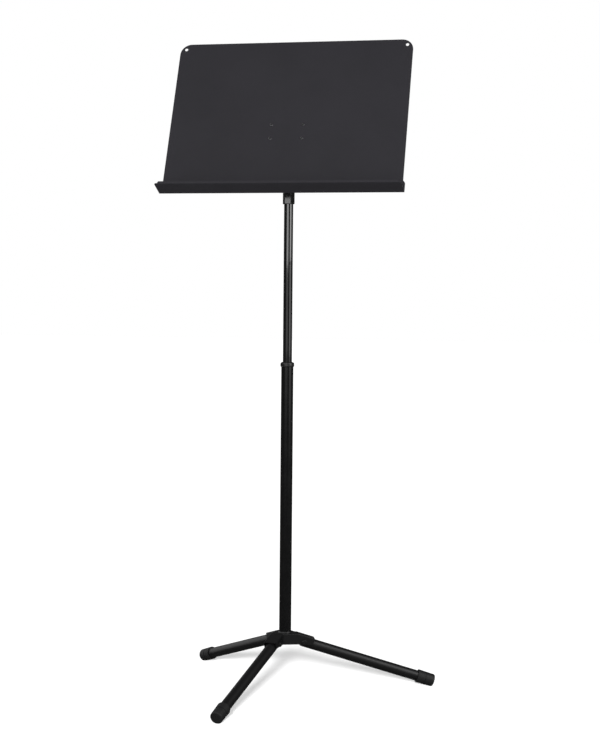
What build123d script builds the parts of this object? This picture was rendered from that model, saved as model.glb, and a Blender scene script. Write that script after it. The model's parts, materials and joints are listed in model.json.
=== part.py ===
from build123d import *
import math
import os

# A free-standing orchestra music stand, in millimetres, +Z up.
# The floor is z = 0, the music desk faces -Y, and the origin is the middle of the
# stand's footprint. Pieces are built about the post's axis and moved when saved.
# Every separate piece is one solid (or one set of alike fasteners) in its own file.

os.makedirs("parts", exist_ok=True)

# ---- where the post stands ---------------------------------------------------
POST_X = -26.6
POST_Y = 45.3

# ---- folding base ------------------------------------------------------------
LEG_COUNT = 3
LEG_FIRST_AZIMUTH = 19.1       # degrees from +X to the first leg, seen from above
LEG_OFFSET = 8.3               # each leg runs this far to one side of the post's axis
LEG_SLOPE = 17.8               # degrees each leg falls from the hub to its foot
LEG_TUBE_R = 11.1              # 7/8 inch tube
LEG_TUBE_WALL = 1.5
LEG_REACH = 317.2              # from the post's axis to the end of a rubber foot
FOOT_END_Z = 11.0              # height of the middle of a foot's end
PIN_REACH = 38.0               # from the post's axis to a folding pin
PIN_R = 3.0
PIN_HEAD_R = 5.2
PIN_HEAD_T = 2.2
RUNNING_GAP = 0.05             # radial clearance of a part that turns on another
PLUG_LENGTH = 32.0             # solid plug that fills the inner end of a leg
CAP_LENGTH = 37.0
CAP_END_R = 13.1
CAP_RIM_R = 14.0
CAP_FLOOR = 4.0                # rubber beyond the end of the tube
CAP_ROUND = 3.0
CAP_GROOVE_AT = 21.0
CAP_GROOVE_W = 1.6
CAP_GROOVE_FLOOR_R = 12.9
CAP_RIM_ROUND = 0.8

HUB_SHEET = 2.2
HUB_FLAT_R = 25.0              # the middle of the hub is flat out to here
HUB_ARM_REACH = 61.0
HUB_ARM_BACK = 15.0            # each arm starts this far behind the post's axis
HUB_CHANNEL_RUN_OUT = 30.0     # the channel's cut goes on past the arm's end
HUB_SIDE_GAP = 0.4             # between a leg and each side wall
HUB_TOP_GAP = 0.5              # between a leg and the roof of its channel
HUB_WALL_DEPTH = 22.5          # side walls near the middle of the hub
HUB_TIP_DEPTH = 13.0           # side walls at the open end of an arm
HUB_CORNER_R = 1.6
SEAT_RING_R = 14.6             # weld ring around the foot of the post
SEAT_RING_TOP_R = 13.1
SEAT_RING_H = 2.4
SEAT_RING_GAP = 0.1
HUB_BOLT_R = 5.0
HUB_BOLT_GAP = 0.2             # radial room round the bolt in the hub and its washer
HUB_BOLT_HEAD_R = 8.5
HUB_BOLT_HEAD_T = 6.4
HUB_WASHER_R = 11.5
HUB_WASHER_T = 2.0

# ---- telescoping post --------------------------------------------------------
OUTER_R = 12.7                 # 1 inch tube
OUTER_BORE_R = 11.2
OUTER_TOP_Z = 678.0
TUBE_PLUG_LENGTH = 24.0
BUSH_SLEEVE = 30.0
BUSH_BEAD_R = 14.4
BUSH_BEAD_H = 9.8
BUSH_BEAD_TOP_ROUND = 4.2
BUSH_BEAD_FOOT_ROUND = 1.6     # leaves a flat seat as wide as the tube's rim
INNER_R = 9.5                  # 3/4 inch tube
INNER_BORE_R = 8.3
INNER_BOTTOM_Z = 520.0
INNER_TOP_Z = 1054.0

CLUTCH_TOP_GAP = 0.5
CLUTCH_LENGTH = 36.0
CLUTCH_FLANGE_R = 10.7
CLUTCH_FLANGE_T = 6.0
CLUTCH_ROOM_GAP = 0.2          # between the shoes and the spool's flanges
CLUTCH_NECK_R = 6.0
SHOE_R = 11.15
SHOE_BORE_R = 8.2
SHOE_SPLIT = 2.0
SPRING_R = 8.2
SPRING_BORE_R = 7.0
SPRING_SPLIT = 3.0
SPRING_SHORT = 3.0             # the spring is this much shorter than the shoes at each end
STEM_R = 3.0
STEM_HEAD_R = 5.0
STEM_HEAD_T = 4.0
STEM_WASHER_R = 7.0
STEM_WASHER_T = 1.2
STEM_PLUG_LENGTH = 22.0
STEM_GRIP = 16.0               # how far the stem screws into the plug

# ---- neck --------------------------------------------------------------------
NECK_BOTTOM_Z = 1016.5
NECK_FLATS = 22.0              # across the flats of the six-sided neck
NECK_EDGE_ROUND = 1.2
NECK_SOCKET_TOP_Z = 1070.0     # the neck narrows from here
NECK_BLADE_Z = 1122.0          # up to here, and carries the eye above
NECK_BLADE_W = 20.0
NECK_EYE_R = 13.0
NECK_CHAMFER = 1.0
NECK_PIN_R = 2.0
NECK_PIN_Z = 1043.0
NECK_PIN_SHORT = 0.5           # each end of the pin lies this far below the surface

# ---- tilt joint --------------------------------------------------------------
PIVOT_Z = 1148.5
BOLT_R = 4.0
BOLT_HEAD_FLATS = 13.0
BOLT_HEAD_T = 5.3
NUT_T = 8.0
NUT_COLLAR_R = 6.0
NUT_COLLAR_T = 2.0
BOLT_TIP = 2.0                 # bolt showing past the nut
FRICTION_WASHER_R = 11.0
EYE_SIDE_GAP = 0.1
EAR_INSIDE_X = 11.6
EAR_T = 2.5
EAR_EYE_R = 12.0
EAR_ROOT_HALF = 21.0
EAR_WELD_SINK = 0.5            # how far an ear's root is sunk into the plate
PLAIN_WASHER_R = 8.0
PLAIN_WASHER_T = 1.6
SPRING_WASHER_R = 7.3
SPRING_WASHER_T = 2.1
SPRING_WASHER_SPLIT = 1.2

# ---- music desk --------------------------------------------------------------
DESK_TILT = 24.0               # degrees the desk leans back
DESK_SHEET = 1.2
DESK_W = 500.0
DESK_H = 358.0                 # from the ledge's bend to the top edge
DESK_GAP_V = 4.2               # the sheet stops just above the ledge's bend
DESK_CORNER_R = 24.0
DESK_HOLE_R = 3.5
DESK_HOLE_INSET = 12.5
PIVOT_UP = 140.0               # from the bend up the desk to the tilt joint
PIVOT_BACK = 31.8              # from the desk's face back to the tilt joint

LEDGE_W = 508.0
LEDGE_DEPTH = 46.0
LEDGE_BEND_R = 4.0
LEDGE_CORNER_R = 4.5
LEDGE_FLANGE_H = 32.0
LEDGE_FLANGE_CUT_H = 10.0
LEDGE_FLANGE_CUT_W = 7.0
LIP_H = 5.5
LIP_END_CUT = 6.0              # the lip stops short of the rounded corners
LIP_END_SLOPE = 3.0            # how far the lip's end leans in over its height
LIP_BEND_R = 2.2

BRACKET_W = 90.0
BRACKET_H = 52.0
BRACKET_T = 2.0
BRACKET_CORNER_R = 6.0
RIVET_SPREAD_X = 67.0
RIVET_SPREAD_V = 32.0
RIVET_RAISE = 2.6              # the rivets' centre lies this far above the tilt joint
RIVET_R = 2.0
RIVET_HEAD_R = 3.4
RIVET_HEAD_T = 1.3
RIVET_HEAD_ROUND = 1.0


# ---- helpers -----------------------------------------------------------------

def rod(radius, start, end, axis="Z"):
    """A plain round bar between two stations of one axis."""
    bar = Cylinder(radius, end - start, align=(Align.CENTER, Align.CENTER, Align.MIN))
    bar = Pos(0, 0, start) * bar
    if axis == "X":
        return Rot(0, 90, 0) * bar
    if axis == "Y":
        return Rot(-90, 0, 0) * bar
    return bar


def pipe(outer_r, inner_r, start, end, axis="Z"):
    """A round tube or washer between two stations of one axis."""
    return rod(outer_r, start, end, axis) - rod(inner_r, start - 1, end + 1, axis)


def block(x0, x1, y0, y1, z0, z1):
    """A rectangular block from its six sides."""
    size = Box(x1 - x0, y1 - y0, z1 - z0, align=(Align.MIN, Align.MIN, Align.MIN))
    return Pos(x0, y0, z0) * size


def save(name, shape):
    """One named piece, or one set of alike pieces, in its own file."""
    export_step(Pos(POST_X, POST_Y, 0) * shape, "parts/" + name + ".step")


# Where a leg's parts sit: built along +X from the folding pin, then set in place.
def leg_place(index):
    azimuth = LEG_FIRST_AZIMUTH + 360.0 / LEG_COUNT * index
    return Rot(0, 0, azimuth) * Pos(PIN_REACH, -LEG_OFFSET, PIN_Z) * Rot(0, LEG_SLOPE, 0)


# Where the desk's parts sit: X across, Y up the sheet, Z out of its front face.
def desk_place():
    tilt = math.radians(DESK_TILT)
    up = Vector(0, math.sin(tilt), math.cos(tilt))
    out = Vector(0, -math.cos(tilt), math.sin(tilt))
    bend = Vector(0, 0, PIVOT_Z) - up * PIVOT_UP + out * PIVOT_BACK
    return Plane(origin=bend, x_dir=(1, 0, 0), z_dir=out).location


SLOPE = math.radians(LEG_SLOPE)
PIN_Z = FOOT_END_Z + (LEG_REACH - PIN_REACH) * math.tan(SLOPE)
LEG_LENGTH = (LEG_REACH - PIN_REACH) / math.cos(SLOPE)
HUB_ROOF = LEG_TUBE_R + HUB_TOP_GAP + HUB_SHEET
HUB_TOP_Z = PIN_Z + (PIN_REACH - HUB_FLAT_R) * math.tan(SLOPE) + HUB_ROOF / math.cos(SLOPE)
HUB_HALF = LEG_TUBE_R + HUB_SIDE_GAP + HUB_SHEET
CLUTCH_TOP_Z = INNER_BOTTOM_Z - CLUTCH_TOP_GAP
CLUTCH_BOTTOM_Z = CLUTCH_TOP_Z - CLUTCH_LENGTH


# ---- folding base ------------------------------------------------------------

def hub_side(depth_in, run_out):
    """The long section of one arm, flat in the middle and then falling outward."""
    fall = math.tan(SLOPE)
    top = HUB_TOP_Z - depth_in
    tip_x = HUB_ARM_REACH + run_out
    tip_z = top - (tip_x - HUB_FLAT_R) * fall
    deep = depth_in + (HUB_WALL_DEPTH if run_out else 0)
    lean = HUB_TIP_DEPTH * math.sin(SLOPE)
    low = top - HUB_WALL_DEPTH - deep
    points = [
        (-HUB_ARM_BACK, top),
        (HUB_FLAT_R, top),
        (tip_x, tip_z),
        (tip_x - lean, tip_z - HUB_TIP_DEPTH * math.cos(SLOPE) - deep),
        (HUB_FLAT_R, low),
        (-HUB_ARM_BACK, low),
    ]
    return make_face(Polyline(*points, close=True))


def hub_arm(half_width, depth_in, run_out):
    """One arm as a solid bar, before its channel is taken out."""
    bar = extrude(Plane.XZ * hub_side(depth_in, run_out), half_width, both=True)
    return Pos(0, -LEG_OFFSET, 0) * bar


def rounded_arm():
    """An arm whose roof turns down into its side walls with a small radius."""
    bar = hub_arm(HUB_HALF, 0, 0)
    middle_z = HUB_TOP_Z - HUB_WALL_DEPTH / 2
    sides = bar.edges().filter_by(lambda e: abs(e.tangent_at(0.5).X) > abs(e.tangent_at(0.5).Z))
    sides = sides.filter_by(lambda e: abs(e.tangent_at(0.5).Y) < 0.5)
    return fillet(sides.filter_by(lambda e: e.center().Z > middle_z), HUB_CORNER_R)


def make_hub():
    """Pressed three-arm shell, open underneath, with a weld ring for the post."""
    body = None
    hollow = None
    for index in range(LEG_COUNT):
        turn = Rot(0, 0, LEG_FIRST_AZIMUTH + 360.0 / LEG_COUNT * index)
        arm = turn * rounded_arm()
        channel = turn * hub_arm(HUB_HALF - HUB_SHEET, HUB_SHEET, HUB_CHANNEL_RUN_OUT)
        body = arm if body is None else body + arm
        hollow = channel if hollow is None else hollow + channel
    shell = body - hollow
    ring_high = HUB_TOP_Z + SEAT_RING_H
    ring = Pos(0, 0, HUB_TOP_Z + SEAT_RING_H / 2) * Cone(SEAT_RING_R, SEAT_RING_TOP_R, SEAT_RING_H)
    shell = shell + (ring - rod(OUTER_R + SEAT_RING_GAP, HUB_TOP_Z - 1, ring_high + 1))
    bolt_hole = rod(HUB_BOLT_R + HUB_BOLT_GAP, HUB_TOP_Z - HUB_SHEET - 1, HUB_TOP_Z + 1)
    shell = shell - bolt_hole
    for index in range(LEG_COUNT):
        shell = shell - leg_place(index) * rod(PIN_R, -HUB_HALF - 1, HUB_HALF + 1, "Y")
    return shell


def round_inner_end(bar):
    """Rounds the pin end of a leg about its folding pin so that it can swing down."""
    corner = block(-40, 0, -40, 40, -40, 40) - rod(LEG_TUBE_R, -41, 41, "Y")
    return bar - corner


def make_leg_tube(index):
    """Straight round tube with a cross hole for the folding pin."""
    tube = pipe(LEG_TUBE_R, LEG_TUBE_R - LEG_TUBE_WALL, -LEG_TUBE_R, LEG_LENGTH - CAP_FLOOR, "X")
    tube = round_inner_end(tube)
    tube = tube - rod(PIN_R + RUNNING_GAP, -LEG_TUBE_R - 1, LEG_TUBE_R + 1, "Y")
    return leg_place(index) * tube


def make_leg_plug(index):
    """Solid plug pressed into the tube so that the pin has something to turn in."""
    plug = rod(LEG_TUBE_R - LEG_TUBE_WALL, -LEG_TUBE_R, PLUG_LENGTH - LEG_TUBE_R, "X")
    plug = round_inner_end(plug)
    plug = plug - rod(PIN_R + RUNNING_GAP, -LEG_TUBE_R - 1, LEG_TUBE_R + 1, "Y")
    return leg_place(index) * plug


def make_leg_pin(index):
    """Rivet pin through both side walls, with a low round head at each end."""
    pin = rod(PIN_R, -HUB_HALF - PIN_HEAD_T, HUB_HALF + PIN_HEAD_T, "Y")
    for side in (-1, 1):
        start = min(side * HUB_HALF, side * (HUB_HALF + PIN_HEAD_T))
        head = rod(PIN_HEAD_R, start, start + PIN_HEAD_T, "Y")
        outer = head.edges().filter_by(GeomType.CIRCLE).sort_by(Axis.Y)
        rim = outer[-1] if side > 0 else outer[0]
        pin = pin + fillet(rim, PIN_HEAD_T * 0.7)
    return leg_place(index) * pin


def make_foot_cap(index):
    """Rubber cap with a thick end, a rim, one groove and a flat worn on the floor."""
    inner = LEG_LENGTH - CAP_LENGTH
    profile = make_face(
        Polyline(
            (inner, 0),
            (inner, CAP_RIM_R),
            (LEG_LENGTH, CAP_END_R),
            (LEG_LENGTH, 0),
            close=True,
        )
    )
    cap = revolve(profile, Axis.X)
    ends = cap.edges().filter_by(GeomType.CIRCLE).sort_by(Axis.X)
    cap = fillet(ends[-1], CAP_ROUND)
    rims = cap.edges().filter_by(GeomType.CIRCLE).sort_by(Axis.X)
    cap = fillet(rims[0], CAP_RIM_ROUND)
    groove_x = LEG_LENGTH - CAP_GROOVE_AT
    groove = pipe(CAP_RIM_R + 1, CAP_GROOVE_FLOOR_R, groove_x, groove_x + CAP_GROOVE_W, "X")
    cap = cap - groove
    cap = cap - rod(LEG_TUBE_R, inner - 1, LEG_LENGTH - CAP_FLOOR, "X")
    cap = leg_place(index) * cap
    floor = block(-400, 400, -400, 400, -30, 0)
    return cap - floor


# ---- telescoping post --------------------------------------------------------

def make_outer_tube():
    return pipe(OUTER_R, OUTER_BORE_R, HUB_TOP_Z, OUTER_TOP_Z)


def make_tube_plug():
    """Threaded plug that holds the foot of the outer tube."""
    plug = rod(OUTER_BORE_R, HUB_TOP_Z, HUB_TOP_Z + TUBE_PLUG_LENGTH)
    return plug - rod(HUB_BOLT_R, HUB_TOP_Z - 1, HUB_TOP_Z + TUBE_PLUG_LENGTH + 1)


def make_hub_washer():
    top = HUB_TOP_Z - HUB_SHEET
    return pipe(HUB_WASHER_R, HUB_BOLT_R + HUB_BOLT_GAP, top - HUB_WASHER_T, top)


def make_hub_bolt():
    """Hexagon bolt that draws the post down onto the hub."""
    seat = HUB_TOP_Z - HUB_SHEET - HUB_WASHER_T
    shank = rod(HUB_BOLT_R, seat, HUB_TOP_Z + TUBE_PLUG_LENGTH - 2)
    head = extrude(RegularPolygon(HUB_BOLT_HEAD_R, 6, major_radius=False), HUB_BOLT_HEAD_T)
    return shank + Pos(0, 0, seat - HUB_BOLT_HEAD_T) * head


def make_collar_bush():
    """Plastic bush: a sleeve down inside the outer tube and a rounded bead on top."""
    sleeve = rod(OUTER_BORE_R, OUTER_TOP_Z - BUSH_SLEEVE, OUTER_TOP_Z)
    bead = rod(BUSH_BEAD_R, OUTER_TOP_Z, OUTER_TOP_Z + BUSH_BEAD_H)
    circles = bead.edges().filter_by(GeomType.CIRCLE).sort_by(Axis.Z)
    bead = fillet(circles[-1], BUSH_BEAD_TOP_ROUND)
    circles = bead.edges().filter_by(GeomType.CIRCLE).sort_by(Axis.Z)
    bead = fillet(circles[0], BUSH_BEAD_FOOT_ROUND)
    bush = sleeve + bead
    bore = rod(INNER_R + RUNNING_GAP, OUTER_TOP_Z - BUSH_SLEEVE - 1, OUTER_TOP_Z + BUSH_BEAD_H + 1)
    return bush - bore


def make_inner_tube():
    tube = pipe(INNER_R, INNER_BORE_R, INNER_BOTTOM_Z, INNER_TOP_Z)
    return tube - Pos(0, 0, NECK_PIN_Z) * rod(NECK_PIN_R, -OUTER_R, OUTER_R, "Y")


def make_clutch_core():
    """Spool that carries the clutch shoes and hangs under the inner tube."""
    core = rod(CLUTCH_NECK_R, CLUTCH_BOTTOM_Z, CLUTCH_TOP_Z)
    core = core + rod(CLUTCH_FLANGE_R, CLUTCH_BOTTOM_Z, CLUTCH_BOTTOM_Z + CLUTCH_FLANGE_T)
    core = core + rod(CLUTCH_FLANGE_R, CLUTCH_TOP_Z - CLUTCH_FLANGE_T, CLUTCH_TOP_Z)
    return core - rod(STEM_R + RUNNING_GAP, CLUTCH_BOTTOM_Z - 1, CLUTCH_TOP_Z + 1)


def clutch_room():
    """The height left for shoes and spring between the flanges of the spool."""
    low = CLUTCH_BOTTOM_Z + CLUTCH_FLANGE_T + CLUTCH_ROOM_GAP
    high = CLUTCH_TOP_Z - CLUTCH_FLANGE_T - CLUTCH_ROOM_GAP
    return (low, high)


def make_clutch_shoe(side):
    """Half of a sleeve, pressed outward against the bore of the outer tube."""
    low, high = clutch_room()
    sleeve = pipe(SHOE_R, SHOE_BORE_R, low, high)
    keep = block(-20, 20, SHOE_SPLIT / 2, 20, low - 1, high + 1)
    if side < 0:
        keep = block(-20, 20, -20, -SHOE_SPLIT / 2, low - 1, high + 1)
    return sleeve & keep


def make_clutch_spring():
    """Open ring of spring steel that pushes the two shoes apart."""
    low, high = clutch_room()
    ring = pipe(SPRING_R, SPRING_BORE_R, low + SPRING_SHORT, high - SPRING_SHORT)
    return ring - block(0, 20, -SPRING_SPLIT / 2, SPRING_SPLIT / 2, low, high)


def make_stem_plug():
    """Plug in the foot of the inner tube that the clutch stem screws into."""
    plug = rod(INNER_BORE_R, INNER_BOTTOM_Z, INNER_BOTTOM_Z + STEM_PLUG_LENGTH)
    return plug - rod(STEM_R, INNER_BOTTOM_Z - 1, INNER_BOTTOM_Z + STEM_GRIP)


def make_clutch_stem():
    """Shoulder screw: the clutch spool turns on it below the inner tube."""
    seat = CLUTCH_BOTTOM_Z - CLUTCH_TOP_GAP - STEM_WASHER_T
    stem = rod(STEM_R, seat, INNER_BOTTOM_Z + STEM_GRIP)
    return stem + rod(STEM_HEAD_R, seat - STEM_HEAD_T, seat)


def make_stem_washer():
    top = CLUTCH_BOTTOM_Z - CLUTCH_TOP_GAP
    return pipe(STEM_WASHER_R, STEM_R, top - STEM_WASHER_T, top)


# ---- neck --------------------------------------------------------------------

def make_neck():
    """Cast neck: a six-sided socket for the tube, flattened at the top to an eye."""
    hexagon = RegularPolygon(NECK_FLATS / 2, 6, major_radius=False)
    shaft = extrude(hexagon, PIVOT_Z - NECK_BOTTOM_Z)
    shaft = fillet(shaft.edges().filter_by(Axis.Z), NECK_EDGE_ROUND)
    low_edges = shaft.edges().group_by(Axis.Z)[0]
    shaft = Pos(0, 0, NECK_BOTTOM_Z) * chamfer(low_edges, NECK_CHAMFER)
    for side in (-1, 1):
        shaft = shaft - mirrored(neck_flank(), side)
    eye = Pos(0, 0, PIVOT_Z) * rod(NECK_EYE_R, -NECK_BLADE_W / 2, NECK_BLADE_W / 2, "X")
    neck = shaft + eye - rod(INNER_R, NECK_BOTTOM_Z - 5, INNER_TOP_Z)
    neck = neck - Pos(0, 0, PIVOT_Z) * rod(BOLT_R + RUNNING_GAP, -20, 20, "X")
    return neck - Pos(0, 0, NECK_PIN_Z) * rod(NECK_PIN_R, -20, 20, "Y")


def neck_flank():
    """Waste beside the upper neck, where the casting narrows to the eye's width."""
    half_w = NECK_BLADE_W / 2
    corner_x = NECK_FLATS / 2 / math.cos(math.radians(30))
    points = [
        (half_w, NECK_BLADE_Z),
        (corner_x, NECK_SOCKET_TOP_Z),
        (2 * corner_x, NECK_SOCKET_TOP_Z),
        (2 * corner_x, PIVOT_Z + NECK_EYE_R),
        (half_w, PIVOT_Z + NECK_EYE_R),
    ]
    return extrude(Plane.XZ * make_face(Polyline(*points, close=True)), NECK_FLATS, both=True)


def make_neck_pin():
    """Cross pin that stops the tube from turning or pulling out of the neck."""
    reach = NECK_FLATS / 2 - NECK_PIN_SHORT
    return Pos(0, 0, NECK_PIN_Z) * rod(NECK_PIN_R, -reach, reach, "Y")


# ---- tilt joint --------------------------------------------------------------

def at_pivot(shape):
    """Moves a part built about the X axis to the tilt joint, in the desk's frame."""
    return desk_place() * Pos(0, PIVOT_UP, -PIVOT_BACK) * shape


def make_bracket():
    """Bracket on the desk's back: a plate with two ears that hold the tilt bolt."""
    back = -DESK_SHEET - BRACKET_T
    plate = block(
        -BRACKET_W / 2, BRACKET_W / 2,
        PIVOT_UP - BRACKET_H / 2, PIVOT_UP + BRACKET_H / 2,
        back, -DESK_SHEET,
    )
    plate = fillet(plate.edges().filter_by(Axis.Z), BRACKET_CORNER_R)
    for side in (-1, 1):
        plate = plate + Pos(side * (EAR_INSIDE_X + EAR_T / 2), 0, 0) * ear(back)
    plate = plate - rivet_bars(RIVET_R)
    return desk_place() * plate


def ear(back):
    """One ear, standing on the plate and rounded about the bolt."""
    outline = make_face(
        Polyline(
            (PIVOT_UP - EAR_ROOT_HALF, back + EAR_WELD_SINK),
            (PIVOT_UP + EAR_ROOT_HALF, back + EAR_WELD_SINK),
            (PIVOT_UP + EAR_EYE_R, -PIVOT_BACK),
            (PIVOT_UP - EAR_EYE_R, -PIVOT_BACK),
            close=True,
        )
    )
    side = extrude(Plane.YZ * outline, EAR_T / 2, both=True)
    eye = Pos(0, PIVOT_UP, -PIVOT_BACK) * rod(EAR_EYE_R, -EAR_T / 2, EAR_T / 2, "X")
    hole = Pos(0, PIVOT_UP, -PIVOT_BACK) * rod(BOLT_R, -EAR_T, EAR_T, "X")
    return side + eye - hole


def make_tilt_bolt():
    head_x = -EAR_INSIDE_X - EAR_T - PLAIN_WASHER_T
    tip_x = EAR_INSIDE_X + EAR_T + SPRING_WASHER_T + NUT_T + BOLT_TIP
    shank = rod(BOLT_R, head_x, tip_x, "X")
    head = extrude(RegularPolygon(BOLT_HEAD_FLATS / 2, 6, major_radius=False), BOLT_HEAD_T)
    head = Pos(head_x - BOLT_HEAD_T, 0, 0) * Rot(0, 90, 0) * head
    return at_pivot(shank + head)


def make_tilt_nut():
    """Locking nut with a round collar at its outer end."""
    start = EAR_INSIDE_X + EAR_T + SPRING_WASHER_T
    hexagon = extrude(RegularPolygon(BOLT_HEAD_FLATS / 2, 6, major_radius=False), NUT_T - NUT_COLLAR_T)
    nut = Pos(start, 0, 0) * Rot(0, 90, 0) * hexagon
    nut = nut + rod(NUT_COLLAR_R, start + NUT_T - NUT_COLLAR_T, start + NUT_T, "X")
    return at_pivot(nut - rod(BOLT_R, start - 1, start + NUT_T + 1, "X"))


def make_plain_washer():
    start = -EAR_INSIDE_X - EAR_T - PLAIN_WASHER_T
    return at_pivot(pipe(PLAIN_WASHER_R, BOLT_R, start, start + PLAIN_WASHER_T, "X"))


def make_spring_washer():
    """Split spring washer under the nut."""
    start = EAR_INSIDE_X + EAR_T
    washer = pipe(SPRING_WASHER_R, BOLT_R, start, start + SPRING_WASHER_T, "X")
    half_gap = SPRING_WASHER_SPLIT / 2
    gap = block(start - 1, start + SPRING_WASHER_T + 1, -half_gap, half_gap, 0, 10)
    return at_pivot(washer - gap)


def make_friction_washer(side):
    """Thin plastic disc between an ear and the eye of the neck."""
    near = NECK_BLADE_W / 2 + EYE_SIDE_GAP
    start = near if side > 0 else -EAR_INSIDE_X
    end = EAR_INSIDE_X if side > 0 else -near
    return at_pivot(pipe(FRICTION_WASHER_R, BOLT_R, start, end, "X"))


# ---- music desk --------------------------------------------------------------

def make_desk():
    """Flat sheet with round top corners, two small holes and four rivet holes."""
    sheet = block(-DESK_W / 2, DESK_W / 2, DESK_GAP_V, DESK_H, -DESK_SHEET, 0)
    top_corners = sheet.edges().filter_by(Axis.Z).group_by(Axis.Y)[-1]
    sheet = fillet(top_corners, DESK_CORNER_R)
    for side in (-1, 1):
        hole_x = side * (DESK_W / 2 - DESK_HOLE_INSET)
        sheet = sheet - Pos(hole_x, DESK_H - DESK_HOLE_INSET, 0) * rod(DESK_HOLE_R, -5, 5)
    return desk_place() * (sheet - rivet_bars(RIVET_R))


def ledge_section():
    """The bent strip seen from its end: flange, shelf and small lip."""
    back = -2 * DESK_SHEET
    front = back + LEDGE_DEPTH
    outline = [
        (back, LEDGE_FLANGE_H),
        (back, 0),
        (front, 0),
        (front, LIP_H),
        (front - DESK_SHEET, LIP_H),
        (front - DESK_SHEET, DESK_SHEET),
        (back + DESK_SHEET, DESK_SHEET),
        (back + DESK_SHEET, LEDGE_FLANGE_H),
    ]
    section = make_face(Polyline(*outline, close=True))
    section = round_point(section, back, 0, LEDGE_BEND_R)
    section = round_point(section, back + DESK_SHEET, DESK_SHEET, LEDGE_BEND_R - DESK_SHEET)
    section = round_point(section, front, 0, LIP_BEND_R)
    section = round_point(section, front - DESK_SHEET, DESK_SHEET, LIP_BEND_R - DESK_SHEET)
    return Plane(origin=(0, 0, 0), x_dir=(0, 0, 1), z_dir=(-1, 0, 0)) * section


def round_point(section, depth, height, radius):
    """Rounds the corner of a flat section that lies nearest to a point."""
    target = Vector(depth, height, 0)
    corner = min(section.vertices(), key=lambda v: (Vector(v.X, v.Y, v.Z) - target).length)
    return fillet(corner, radius)


def make_ledge():
    """One bent strip: a flange behind the desk, the shelf, and a low front lip."""
    half = LEDGE_W / 2
    front = LEDGE_DEPTH - 2 * DESK_SHEET
    strip = extrude(ledge_section(), half, both=True)
    for side in (-1, 1):
        strip = strip - shelf_corner(side, half, front)
        strip = strip - lip_end(side, half, front)
        strip = strip - flange_corner(side, half)
    return desk_place() * strip


def shelf_corner(side, half, front):
    """Waste outside the rounded front corner of the shelf."""
    inside_x = half - LEDGE_CORNER_R
    inside_w = front - LEDGE_CORNER_R
    waste = block(inside_x, half + 5, -5, LIP_H + 5, inside_w, front + 5)
    keep = Pos(inside_x, 0, inside_w) * rod(LEDGE_CORNER_R, -6, LIP_H + 6, "Y")
    return mirrored(waste - keep, side)


def lip_end(side, half, front):
    """Waste that ends the lip short of the corner, with a slope at its end."""
    points = [
        (half - LIP_END_CUT - LIP_END_SLOPE, LIP_H + 1),
        (half - LIP_END_CUT, DESK_SHEET),
        (half + 5, DESK_SHEET),
        (half + 5, LIP_H + 1),
    ]
    face = make_face(Polyline(*points, close=True))
    waste = Pos(0, 0, front - 2 * LIP_BEND_R) * extrude(face, 3 * LIP_BEND_R)
    return mirrored(waste, side)


def flange_corner(side, half):
    """Waste outside the cut upper corner of the flange."""
    points = [
        (half + 1, LEDGE_FLANGE_H - LEDGE_FLANGE_CUT_H),
        (half + 1, LEDGE_FLANGE_H + 1),
        (half - LEDGE_FLANGE_CUT_W, LEDGE_FLANGE_H + 1),
        (half - LEDGE_FLANGE_CUT_W, LEDGE_FLANGE_H),
        (half, LEDGE_FLANGE_H - LEDGE_FLANGE_CUT_H),
    ]
    face = make_face(Polyline(*points, close=True))
    waste = Pos(0, 0, -6) * extrude(face, 5.5)
    return mirrored(waste, side)


def mirrored(shape, side):
    """The shape itself on the right, or its mirror image on the left."""
    return shape if side > 0 else mirror(shape, Plane.YZ)


def rivet_places():
    """Where the four rivets sit, each given across and up the sheet."""
    middle = PIVOT_UP + RIVET_RAISE
    places = []
    for x in (-RIVET_SPREAD_X / 2, RIVET_SPREAD_X / 2):
        for v in (middle - RIVET_SPREAD_V / 2, middle + RIVET_SPREAD_V / 2):
            places.append(Pos(x, v, 0))
    return places


def rivet_bars(radius):
    """Four round bars through the desk and the bracket where the rivets go."""
    bars = None
    for place in rivet_places():
        bar = place * rod(radius, -DESK_SHEET - BRACKET_T, 0)
        bars = bar if bars is None else bars + bar
    return bars


def make_desk_rivets():
    """Four alike rivets with a low round head in front and a flat one behind."""
    back = -DESK_SHEET - BRACKET_T
    rivets = []
    for place in rivet_places():
        body = rod(RIVET_R, back - RIVET_HEAD_T, RIVET_HEAD_T)
        front = rod(RIVET_HEAD_R, 0, RIVET_HEAD_T)
        rim = front.edges().filter_by(GeomType.CIRCLE).sort_by(Axis.Z)[-1]
        front = fillet(rim, RIVET_HEAD_ROUND)
        tail = rod(RIVET_HEAD_R, back - RIVET_HEAD_T, back)
        rivets.append(desk_place() * place * (body + front + tail))
    return Compound(children=rivets)


# ---- every piece into its file -----------------------------------------------

save("hub", make_hub())
save("hub_bolt", make_hub_bolt())
save("hub_washer", make_hub_washer())
for leg in range(LEG_COUNT):
    number = str(leg + 1)
    save("leg_tube_" + number, make_leg_tube(leg))
    save("leg_plug_" + number, make_leg_plug(leg))
    save("leg_pin_" + number, make_leg_pin(leg))
    save("foot_cap_" + number, make_foot_cap(leg))
save("outer_tube", make_outer_tube())
save("outer_tube_plug", make_tube_plug())
save("collar_bush", make_collar_bush())
save("inner_tube", make_inner_tube())
save("inner_tube_plug", make_stem_plug())
save("clutch_stem", make_clutch_stem())
save("clutch_stem_washer", make_stem_washer())
save("clutch_core", make_clutch_core())
save("clutch_shoe_front", make_clutch_shoe(-1))
save("clutch_shoe_back", make_clutch_shoe(1))
save("clutch_spring", make_clutch_spring())
save("neck", make_neck())
save("neck_pin", make_neck_pin())
save("tilt_bracket", make_bracket())
save("tilt_bolt", make_tilt_bolt())
save("tilt_nut", make_tilt_nut())
save("tilt_plain_washer", make_plain_washer())
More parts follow.
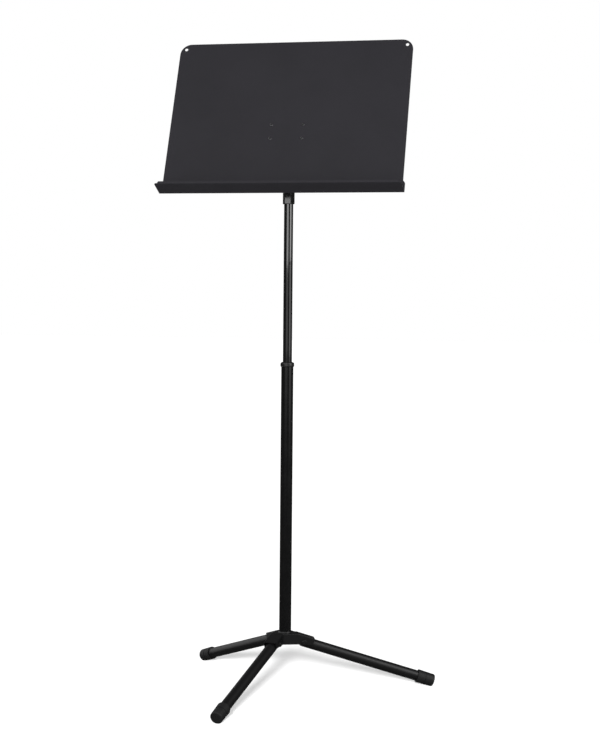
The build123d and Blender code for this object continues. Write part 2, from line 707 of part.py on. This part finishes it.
save("tilt_spring_washer", make_spring_washer())
save("friction_washer_left", make_friction_washer(-1))
save("friction_washer_right", make_friction_washer(1))
save("desk", make_desk())
save("ledge", make_ledge())
save("desk_rivets", make_desk_rivets())
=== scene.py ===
import json
import math

import bmesh
import bpy
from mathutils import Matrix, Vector


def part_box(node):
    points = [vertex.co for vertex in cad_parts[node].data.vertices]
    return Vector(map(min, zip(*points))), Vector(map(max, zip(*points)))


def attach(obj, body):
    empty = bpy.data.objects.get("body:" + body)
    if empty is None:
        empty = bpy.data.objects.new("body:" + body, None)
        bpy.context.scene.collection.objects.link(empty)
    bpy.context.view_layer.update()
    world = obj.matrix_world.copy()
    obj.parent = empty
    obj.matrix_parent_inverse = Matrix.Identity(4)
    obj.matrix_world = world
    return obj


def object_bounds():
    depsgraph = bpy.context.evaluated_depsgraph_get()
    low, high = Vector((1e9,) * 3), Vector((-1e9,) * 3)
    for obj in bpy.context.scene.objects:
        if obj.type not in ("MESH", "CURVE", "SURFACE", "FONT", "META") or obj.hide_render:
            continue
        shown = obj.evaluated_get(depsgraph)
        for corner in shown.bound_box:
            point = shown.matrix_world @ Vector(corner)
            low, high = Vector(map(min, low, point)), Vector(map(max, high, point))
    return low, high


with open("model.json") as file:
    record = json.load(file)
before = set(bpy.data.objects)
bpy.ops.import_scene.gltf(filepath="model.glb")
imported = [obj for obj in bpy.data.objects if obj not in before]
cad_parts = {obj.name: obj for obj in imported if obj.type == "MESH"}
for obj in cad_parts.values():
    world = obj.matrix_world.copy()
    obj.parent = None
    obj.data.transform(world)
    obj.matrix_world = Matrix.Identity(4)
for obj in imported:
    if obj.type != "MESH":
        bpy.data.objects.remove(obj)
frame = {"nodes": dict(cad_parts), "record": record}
CAD_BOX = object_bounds()
NODES = frame["nodes"]

# Distances in metres, angles in degrees. The post's axis is where the tube's box says.
TUBE_LOW, TUBE_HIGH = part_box("outer_tube")
POST_X = (TUBE_LOW[0] + TUBE_HIGH[0]) / 2
POST_Y = (TUBE_LOW[1] + TUBE_HIGH[1]) / 2

# ---- camera ------------------------------------------------------------------
CAMERA_AZIMUTH = 12.148
CAMERA_DISTANCE = 3.3016
CAMERA_HEIGHT = 0.8135
CAMERA_HEADING = 11.709
CAMERA_DOWN = 2.536
CAMERA_ROLL = -0.505
CAMERA_LENS = 76.51
CAMERA_SENSOR = 36.0

# ---- light and set -----------------------------------------------------------
BACKGROUND_LEVEL = 1.0
SURROUND_LEVEL = 0.06
FLOOR_REACH = 30.0
FLOOR_GAP = 0.0002             # the paper lies this far below the feet
LAMP_DISTANCE = 3.0            # where the far lamps' markers stand
AIM_HEIGHT = 0.75              # the softboxes face this height on the post
SKIRT_HEIGHT = 0.78            # middle of the dim panels under the softboxes
HEM_HEIGHT = 0.46              # middle of the dimmer panels under those
BASE_PARTS = ("hub", "leg_tube", "leg_plug", "foot_cap")
REAR_PARTS = ("desk", "ledge", "tilt", "friction", "bracket_weld", "spot_weld")


# ---- small helpers -----------------------------------------------------------

def link(obj):
    bpy.context.scene.collection.objects.link(obj)
    return obj


def on_circle(azimuth, distance, height):
    """A point round the post; azimuth 0 is straight in front of the desk."""
    turn = math.radians(azimuth)
    return Vector((POST_X + distance * math.sin(turn), POST_Y - distance * math.cos(turn), height))


def new_material(name):
    """An empty node material with its principled shader and its output joined."""
    material = bpy.data.materials.new(name)
    material.use_nodes = True
    tree = material.node_tree
    tree.nodes.clear()
    output = tree.nodes.new("ShaderNodeOutputMaterial")
    shader = tree.nodes.new("ShaderNodeBsdfPrincipled")
    tree.links.new(shader.outputs["BSDF"], output.inputs["Surface"])
    return material, tree, shader


def place_texture(tree, scale=(1.0, 1.0, 1.0)):
    """Texture coordinates in the object's own metres, stretched along each axis."""
    coordinates = tree.nodes.new("ShaderNodeTexCoord")
    mapping = tree.nodes.new("ShaderNodeMapping")
    mapping.inputs["Scale"].default_value = scale
    tree.links.new(coordinates.outputs["Object"], mapping.inputs["Vector"])
    return mapping.outputs["Vector"]


def noise(tree, vector, scale, detail=4.0, roughness=0.55, distortion=0.0):
    """Smooth noise from 0 to 1; a greater scale makes it finer."""
    node = tree.nodes.new("ShaderNodeTexNoise")
    node.inputs["Scale"].default_value = scale
    node.inputs["Detail"].default_value = detail
    node.inputs["Roughness"].default_value = roughness
    node.inputs["Distortion"].default_value = distortion
    tree.links.new(vector, node.inputs["Vector"])
    return node.outputs["Fac"]


def remap(tree, value, low, high, new_low, new_high):
    """Stretches a value from one range into another."""
    node = tree.nodes.new("ShaderNodeMapRange")
    node.inputs["From Min"].default_value = low
    node.inputs["From Max"].default_value = high
    node.inputs["To Min"].default_value = new_low
    node.inputs["To Max"].default_value = new_high
    tree.links.new(value, node.inputs["Value"])
    return node.outputs["Result"]


def ramp(tree, value, stops):
    """Colours along a value; stops are (position, (r, g, b))."""
    node = tree.nodes.new("ShaderNodeValToRGB")
    elements = node.color_ramp.elements
    while len(elements) < len(stops):
        elements.new(0.5)
    for element, (position, colour) in zip(elements, stops):
        element.position = position
        element.color = (colour[0], colour[1], colour[2], 1.0)
    tree.links.new(value, node.inputs["Fac"])
    return node.outputs["Color"]


def mix(tree, factor, first, second):
    """Blends two colours by a factor socket."""
    node = tree.nodes.new("ShaderNodeMix")
    node.data_type = "RGBA"
    tree.links.new(factor, node.inputs["Factor"])
    tree.links.new(first, node.inputs["A"])
    tree.links.new(second, node.inputs["B"])
    return node.outputs["Result"]


def add(tree, first, second, weight):
    """first + weight * second."""
    node = tree.nodes.new("ShaderNodeMath")
    node.operation = "MULTIPLY_ADD"
    node.inputs[1].default_value = weight
    tree.links.new(second, node.inputs[0])
    tree.links.new(first, node.inputs[2])
    return node.outputs["Value"]


def bump(tree, shader, height, depth):
    """Raises the surface by a height socket, depth metres at most."""
    node = tree.nodes.new("ShaderNodeBump")
    node.inputs["Distance"].default_value = depth
    tree.links.new(height, node.inputs["Height"])
    tree.links.new(node.outputs["Normal"], shader.inputs["Normal"])


def shaded(colour, factor):
    """The same colour, darker or paler."""
    return tuple(c * factor for c in colour)


# ---- materials ---------------------------------------------------------------

def powder_coat(name, colour, roughness, grain, depth, gloss):
    """Baked powder coat: orange-peel grain, faint mottling and fine pale specks."""
    material, tree, shader = new_material(name)
    here = place_texture(tree)
    broad = noise(tree, here, 9.0, 3.0)
    grains = noise(tree, here, grain, 3.0, 0.6)
    specks = noise(tree, here, grain * 2.6, 2.0, 0.5)
    base = ramp(tree, broad, [(0.3, shaded(colour, 0.93)), (0.7, shaded(colour, 1.07))])
    pale = ramp(tree, broad, [(0.3, shaded(colour, 1.5)), (0.7, shaded(colour, 1.8))])
    where = remap(tree, specks, 0.66, 0.74, 0.0, 0.5)
    tree.links.new(mix(tree, where, base, pale), shader.inputs["Base Color"])
    rough = remap(tree, grains, 0.3, 0.7, roughness - 0.04, roughness + 0.04)
    tree.links.new(rough, shader.inputs["Roughness"])
    shader.inputs["Specular IOR Level"].default_value = gloss
    bump(tree, shader, add(tree, grains, specks, 0.4), depth)
    return material


def gloss_enamel(name, colour, roughness, coat, handling):
    """Smooth enamel on a drawn tube, with faint draw lines and hand marks."""
    material, tree, shader = new_material(name)
    here = place_texture(tree)
    along = place_texture(tree, (1.0, 1.0, 0.012))
    marks = noise(tree, here, 26.0, 5.0, 0.6, 0.4)
    lines = noise(tree, along, 900.0, 2.0, 0.5)
    peel = noise(tree, here, 420.0, 2.0, 0.5)
    base = ramp(tree, marks, [(0.35, shaded(colour, 0.85)), (0.7, shaded(colour, 1.2))])
    tree.links.new(base, shader.inputs["Base Color"])
    soft = add(tree, marks, lines, 0.35)
    rough = remap(tree, soft, 0.45, 0.95, roughness, roughness + handling)
    tree.links.new(rough, shader.inputs["Roughness"])
    shader.inputs["Coat Weight"].default_value = coat
    shader.inputs["Coat Roughness"].default_value = roughness * 0.6
    bump(tree, shader, add(tree, peel, lines, 0.2), 0.000003)
    return material


def rubber(name, colour):
    """Moulded rubber: dull, slightly dusty, with a fine pebbled skin."""
    material, tree, shader = new_material(name)
    here = place_texture(tree)
    dust = noise(tree, here, 60.0, 6.0, 0.65)
    skin = noise(tree, here, 1500.0, 2.0, 0.5)
    base = ramp(tree, dust, [(0.35, shaded(colour, 0.8)), (0.6, colour), (0.8, shaded(colour, 1.7))])
    tree.links.new(base, shader.inputs["Base Color"])
    tree.links.new(remap(tree, dust, 0.3, 0.8, 0.55, 0.8), shader.inputs["Roughness"])
    shader.inputs["Specular IOR Level"].default_value = 0.4
    bump(tree, shader, skin, 0.00004)
    return material


def moulded_plastic(name, colour, roughness):
    """Spark-eroded mould texture on black nylon, with faint flow lines."""
    material, tree, shader = new_material(name)
    here = place_texture(tree)
    flow = noise(tree, here, 45.0, 4.0, 0.5, 1.2)
    grain = noise(tree, here, 2200.0, 2.0, 0.6)
    base = ramp(tree, flow, [(0.3, shaded(colour, 0.85)), (0.7, shaded(colour, 1.15))])
    tree.links.new(base, shader.inputs["Base Color"])
    rough = remap(tree, flow, 0.3, 0.7, roughness - 0.05, roughness + 0.06)
    tree.links.new(rough, shader.inputs["Roughness"])
    bump(tree, shader, grain, 0.00002)
    return material


def plated_steel(name, colour):
    """Bright zinc plate on turned steel: fine tool lines and clouded passivation."""
    material, tree, shader = new_material(name)
    here = place_texture(tree)
    turned = place_texture(tree, (0.05, 1.0, 1.0))
    cloud = noise(tree, here, 180.0, 4.0, 0.6)
    lines = noise(tree, turned, 2600.0, 2.0, 0.5)
    blue = (colour[0] * 0.92, colour[1] * 0.97, colour[2])
    warm = (colour[0], colour[1] * 0.97, colour[2] * 0.88)
    tree.links.new(ramp(tree, cloud, [(0.35, blue), (0.65, warm)]), shader.inputs["Base Color"])
    shader.inputs["Metallic"].default_value = 1.0
    tree.links.new(remap(tree, lines, 0.3, 0.7, 0.24, 0.42), shader.inputs["Roughness"])
    bump(tree, shader, lines, 0.00001)
    return material


def studio_floor(name):
    """Seamless white paper, with only its own faint fibre in it."""
    material, tree, shader = new_material(name)
    here = place_texture(tree)
    fibre = noise(tree, here, 300.0, 3.0)
    tree.links.new(
        ramp(tree, fibre, [(0.3, (0.86, 0.86, 0.86)), (0.7, (0.89, 0.89, 0.89))]),
        shader.inputs["Base Color"],
    )
    shader.inputs["Roughness"].default_value = 0.95
    shader.inputs["Specular IOR Level"].default_value = 0.1
    return material


def clothe_nodes():
    """Every CAD node gets the material of the stuff it is made of; returns them by slot."""
    desk_paint = powder_coat(
        "desk_paint", (0.0174, 0.0164, 0.0206),
        roughness=0.66, grain=1100.0, depth=0.00003, gloss=0.25,
    )
    base_paint = powder_coat(
        "base_paint", (0.0045, 0.0045, 0.0048),
        roughness=0.44, grain=900.0, depth=0.00002, gloss=0.4,
    )
    neck_paint = powder_coat(
        "neck_paint", (0.008, 0.008, 0.008),
        roughness=0.14, grain=500.0, depth=0.000008, gloss=0.6,
    )
    rivet_paint = gloss_enamel(
        "rivet_paint", (0.026, 0.026, 0.028), roughness=0.12, coat=1.0, handling=0.05
    )
    tube_gloss = gloss_enamel(
        "tube_gloss", (0.004, 0.004, 0.004), roughness=0.05, coat=0.5, handling=0.05
    )
    tube_satin = gloss_enamel(
        "tube_satin", (0.004, 0.004, 0.0041), roughness=0.15, coat=0.0, handling=0.06
    )
    foot_rubber = rubber("rubber_black", (0.007, 0.007, 0.0074))
    plastic = moulded_plastic("plastic_black", (0.008, 0.008, 0.008), roughness=0.36)
    steel = plated_steel("fastener_steel", (0.62, 0.63, 0.65))
    by_slot = {
        "desk_paint": desk_paint,
        "bracket_paint": base_paint,
        "base_paint": base_paint,
        "neck_paint": neck_paint,
        "tube_gloss": tube_gloss,
        "tube_satin": tube_satin,
        "rubber_black": foot_rubber,
        "plastic_black": plastic,
        "fastener_steel": steel,
        "fastener_black": base_paint,
    }
    for part in frame["record"]["subparts"]:
        mesh = NODES[part["node"]].data
        mesh.materials.clear()
        mesh.materials.append(by_slot[part["material_slot"]])
    NODES["desk_rivets"].data.materials[0] = rivet_paint
    return by_slot


# ---- weld details on the desk ------------------------------------------------

# All measured from the tilt bolt's middle, with the desk leaning back as shown.
DESK_TILT = math.radians(24.0)
BRACKET_BACK = 0.0286          # forward to the back of the bracket's plate
EAR_INNER_X = 0.0116
EAR_OUTER_X = 0.0141
WELD_HALF_LENGTH = 0.0195
WELD_R = 0.0014
WELD_SINK = 0.0003             # how far the bead's middle lies off the corner
WELD_STEP = 0.0004
WELD_RIPPLE = 0.0017           # from one ripple of the bead to the next
WELD_RIPPLE_SHARE = 0.14       # how much of the bead's radius ripples
WELD_TAPER = 0.0015            # the bead thins over this length at each end
WELD_TIP_SHARE = 0.25          # down to this part of its radius
WELD_SIDES = 12
FLANGE_BACK = 0.0294           # forward to the back of the ledge's flange
SPOT_DOWN = 0.121              # down the desk to the row of spot welds
SPOT_COUNT = 9
SPOT_PITCH = 0.056
SPOT_SIDES = 28
# A spot weld's ring from its middle outward, as (radius, height above the flange).
SPOT_PROFILE = (
    (0.0017, 0.00003), (0.0021, 0.00008), (0.0025, 0.00025),
    (0.0029, 0.00008), (0.0031, -0.0002),
)


def on_desk(x, up, out):
    """A point given across, up and out from the desk, measured from the tilt bolt."""
    low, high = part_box("tilt_bolt")
    pivot = (Vector(low) + Vector(high)) / 2
    rise = Vector((0.0, math.sin(DESK_TILT), math.cos(DESK_TILT)))
    front = Vector((0.0, -math.cos(DESK_TILT), math.sin(DESK_TILT)))
    return Vector((POST_X + x, pivot.y, pivot.z)) + rise * up + front * out


def desk_piece(name, rings, material):
    """A smooth closed skin through rings of points, riding on the desk."""
    shape = bmesh.new()
    loops = [[shape.verts.new(point) for point in ring] for ring in rings]
    for first, second in zip(loops, loops[1:]):
        for index in range(len(first)):
            after = (index + 1) % len(first)
            shape.faces.new((first[index], first[after], second[after], second[index]))
    shape.faces.new(reversed(loops[0]))
    shape.faces.new(loops[-1])
    bmesh.ops.recalc_face_normals(shape, faces=shape.faces)
    for face in shape.faces:
        face.smooth = len(face.verts) == 4
    mesh = bpy.data.meshes.new(name)
    shape.to_mesh(mesh)
    shape.free()
    mesh.materials.append(material)
    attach(link(bpy.data.objects.new(name, mesh)), "desk")


def weld_bead(name, corner_x, side, material):
    """A rippled fillet weld along the root of one ear of the bracket."""
    steps = int(2 * WELD_HALF_LENGTH / WELD_STEP)
    rings = []
    for step in range(steps + 1):
        along = -WELD_HALF_LENGTH + step * WELD_STEP
        ripple = (along / WELD_RIPPLE) % 1.0
        end = min(1.0, (WELD_HALF_LENGTH - abs(along)) / WELD_TAPER + WELD_TIP_SHARE)
        swell = 1.0 - WELD_RIPPLE_SHARE * (1.0 - math.sin(math.pi * ripple))
        radius = WELD_R * end * swell
        ring = []
        for index in range(WELD_SIDES):
            turn = 2 * math.pi * index / WELD_SIDES
            x = corner_x + side * WELD_SINK + radius * math.cos(turn)
            ring.append(on_desk(x, along, BRACKET_BACK - WELD_SINK + radius * math.sin(turn)))
        rings.append(ring)
    desk_piece(name, rings, material)


def spot_weld(name, x, material):
    """The shallow ring that a spot-welding electrode leaves in the sheet."""
    rings = []
    for radius, height in SPOT_PROFILE:
        ring = []
        for index in range(SPOT_SIDES):
            turn = 2 * math.pi * index / SPOT_SIDES
            up = -SPOT_DOWN + radius * math.sin(turn)
            ring.append(on_desk(x + radius * math.cos(turn), up, FLANGE_BACK - height))
        rings.append(ring)
    desk_piece(name, rings, material)


def make_welds(materials):
    """Four beads on the bracket's ears and a row of spots along the ledge's flange."""
    number = 0
    for ear in (-1, 1):
        for corner_x, side in ((ear * EAR_OUTER_X, ear), (ear * EAR_INNER_X, -ear)):
            number += 1
            weld_bead("bracket_weld_%d" % number, corner_x, side, materials["bracket_paint"])
    for index in range(SPOT_COUNT):
        x = (index - (SPOT_COUNT - 1) / 2) * SPOT_PITCH
        spot_weld("spot_weld_%d" % (index + 1), x, materials["desk_paint"])


# ---- set ---------------------------------------------------------------------

def make_floor():
    """A wide sheet of paper on the floor, level with the bottom of the feet."""
    mesh = bpy.data.meshes.new("studio_floor")
    shape = bmesh.new()
    bmesh.ops.create_grid(shape, x_segments=6, y_segments=6, size=FLOOR_REACH)
    shape.to_mesh(mesh)
    shape.free()
    mesh.materials.append(studio_floor("studio_floor"))
    floor = link(bpy.data.objects.new("studio_floor", mesh))
    floor.location.z = CAD_BOX[0][2] - FLOOR_GAP
    floor.visible_glossy = False
    return floor


def make_camera():
    """The viewpoint fitted to the stand's outlines."""
    data = bpy.data.cameras.new("camera")
    data.lens = CAMERA_LENS
    data.sensor_width = CAMERA_SENSOR
    camera = link(bpy.data.objects.new("camera", data))
    camera.location = on_circle(CAMERA_AZIMUTH, CAMERA_DISTANCE, CAMERA_HEIGHT)
    camera.rotation_euler = (
        math.radians(90.0 - CAMERA_DOWN),
        math.radians(CAMERA_ROLL),
        math.radians(CAMERA_HEADING),
    )
    bpy.context.scene.camera = camera


def softbox(name, azimuth, distance, height, width, tall, power, aim=AIM_HEIGHT):
    """A rectangular studio light, turned to face the stand."""
    data = bpy.data.lights.new(name, "AREA")
    data.shape = "RECTANGLE"
    data.size = width
    data.size_y = tall
    data.energy = power
    lamp = link(bpy.data.objects.new(name, data))
    lamp.location = on_circle(azimuth, distance, height)
    toward = Vector((POST_X, POST_Y, aim)) - lamp.location
    lamp.rotation_euler = toward.to_track_quat("-Z", "Y").to_euler()
    return lamp


def far_lamp(name, azimuth, elevation, spread, strength):
    """An even light from one side of the sky; spread is how wide it looks."""
    data = bpy.data.lights.new(name, "SUN")
    data.energy = strength
    data.angle = math.radians(spread)
    lamp = link(bpy.data.objects.new(name, data))
    height = LAMP_DISTANCE * math.tan(math.radians(elevation))
    lamp.location = on_circle(azimuth, LAMP_DISTANCE, height)
    toward = Vector((POST_X, POST_Y, 0.0)) - lamp.location
    lamp.rotation_euler = toward.to_track_quat("-Z", "Y").to_euler()
    return lamp


def group(name, members):
    """A collection for lamps to light, or to be shadowed by."""
    collection = bpy.data.collections.new(name)
    for member in members:
        collection.objects.link(member)
    return collection


def make_stand_lights(pieces, base_pieces):
    """Softboxes with dimmer panels below them, and far lamps from above, left and behind."""
    lamps = (
        softbox("key_light", azimuth=-8.0, distance=2.9, height=1.85, width=2.7, tall=1.9, power=58.0),
        softbox(
            "key_skirt", azimuth=-8.0, distance=3.2, height=SKIRT_HEIGHT,
            width=2.9, tall=0.36, power=2.2, aim=SKIRT_HEIGHT,
        ),
        softbox(
            "key_hem", azimuth=-8.0, distance=3.2, height=HEM_HEIGHT,
            width=2.9, tall=0.28, power=0.6, aim=HEM_HEIGHT,
        ),
        softbox("side_light", azimuth=70.0, distance=2.6, height=1.85, width=2.0, tall=1.9, power=52.0),
        softbox(
            "side_skirt", azimuth=70.0, distance=2.9, height=SKIRT_HEIGHT,
            width=2.2, tall=0.36, power=3.6, aim=SKIRT_HEIGHT,
        ),
        softbox(
            "side_hem", azimuth=70.0, distance=2.9, height=HEM_HEIGHT,
            width=2.2, tall=0.28, power=1.0, aim=HEM_HEIGHT,
        ),
        far_lamp("top_light", azimuth=-70.0, elevation=50.0, spread=50.0, strength=0.6),
    )
    stand = group("stand_pieces", pieces)
    for lamp in lamps:
        lamp.light_linking.receiver_collection = stand
    back = far_lamp("back_light", azimuth=185.0, elevation=25.0, spread=70.0, strength=1.6)
    rear = [piece for piece in pieces if piece.name.startswith(REAR_PARTS)]
    back.light_linking.receiver_collection = group("back_pieces", rear)
    rim = far_lamp("rim_light", azimuth=-112.0, elevation=16.0, spread=60.0, strength=0.75)
    rim.light_linking.receiver_collection = base_pieces


def make_floor_lights(floor, base_pieces):
    """An even wash keeps the paper white; a low lamp throws the base's soft shadow on it."""
    paper = group("paper", [floor])
    wash = far_lamp("floor_wash", azimuth=0.0, elevation=89.0, spread=1.0, strength=2.1)
    wash.data.use_shadow = False
    wash.light_linking.receiver_collection = paper
    shade = far_lamp("floor_shade", azimuth=8.0, elevation=18.3, spread=7.0, strength=6.0)
    shade.light_linking.receiver_collection = paper
    shade.light_linking.blocker_collection = base_pieces


def make_lights(floor):
    """Each lamp lights either pieces of the stand or the paper floor, never both."""
    pieces = [o for o in bpy.context.scene.objects if o.type == "MESH" and o != floor]
    base = [NODES[name] for name in NODES if name.startswith(BASE_PARTS)]
    base_pieces = group("base_pieces", base)
    make_stand_lights(pieces, base_pieces)
    make_floor_lights(floor, base_pieces)


def make_world():
    """White behind the stand; a dimmer surround for what its surfaces mirror."""
    world = bpy.data.worlds.new("studio")
    bpy.context.scene.world = world
    world.use_nodes = True
    tree = world.node_tree
    tree.nodes.clear()
    output = tree.nodes.new("ShaderNodeOutputWorld")
    path = tree.nodes.new("ShaderNodeLightPath")
    seen = tree.nodes.new("ShaderNodeBackground")
    around = tree.nodes.new("ShaderNodeBackground")
    choose = tree.nodes.new("ShaderNodeMixShader")
    seen.inputs["Strength"].default_value = BACKGROUND_LEVEL
    around.inputs["Strength"].default_value = SURROUND_LEVEL
    seen.inputs["Color"].default_value = (1.0, 1.0, 1.0, 1.0)
    around.inputs["Color"].default_value = (1.0, 1.0, 1.0, 1.0)
    tree.links.new(path.outputs["Is Camera Ray"], choose.inputs["Fac"])
    tree.links.new(around.outputs["Background"], choose.inputs[1])
    tree.links.new(seen.outputs["Background"], choose.inputs[2])
    tree.links.new(choose.outputs["Shader"], output.inputs["Surface"])
    bpy.context.scene.view_settings.view_transform = "Standard"


make_camera()
make_world()
make_welds(clothe_nodes())
make_lights(make_floor())
